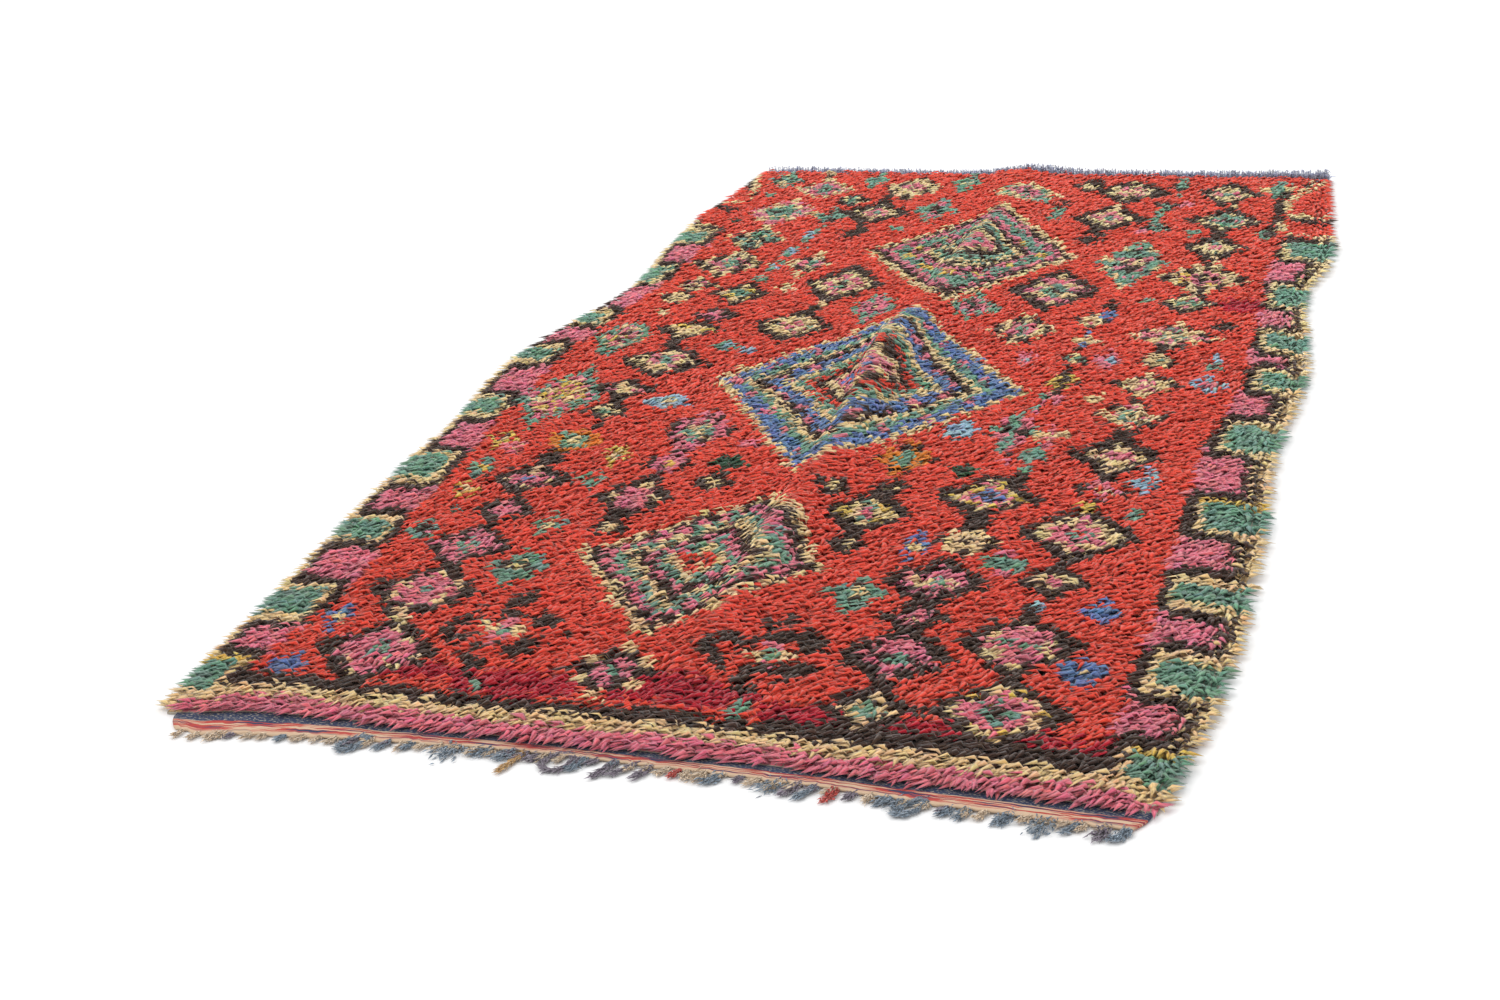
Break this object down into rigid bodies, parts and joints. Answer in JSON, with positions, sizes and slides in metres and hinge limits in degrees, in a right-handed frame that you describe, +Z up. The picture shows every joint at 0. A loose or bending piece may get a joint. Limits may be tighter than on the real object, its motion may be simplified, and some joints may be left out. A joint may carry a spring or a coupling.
{
  "type": "boucherouite rug",
  "caption": "Long shaggy knotted rag rug lying flat, with a low lengthwise fold, a flat-woven near end with torn ends and a short far fringe.",
  "frame": {"origin": "on the floor, under the middle of the rug's box", "axes": "+Z up, +Y along the rug from its flat-woven near end to its far fringe, +X to the right"},
  "size_m": [1.5208, 3.0595, 0.0754],
  "materials": {
    "pile": "matte knotted rag pile, mainly orange-red with teal, pink, cream, black and blue knots",
    "flatweave": "matte weft-faced flat weave with red, cream and navy lines",
    "fringe": "matte teased blue-grey yarn"
  },
  "bodies": {
    "root": {"pile_field": "pile", "near_end_band": "flatweave", "far_fringe": "fringe"}
  },
  "joints": []
}
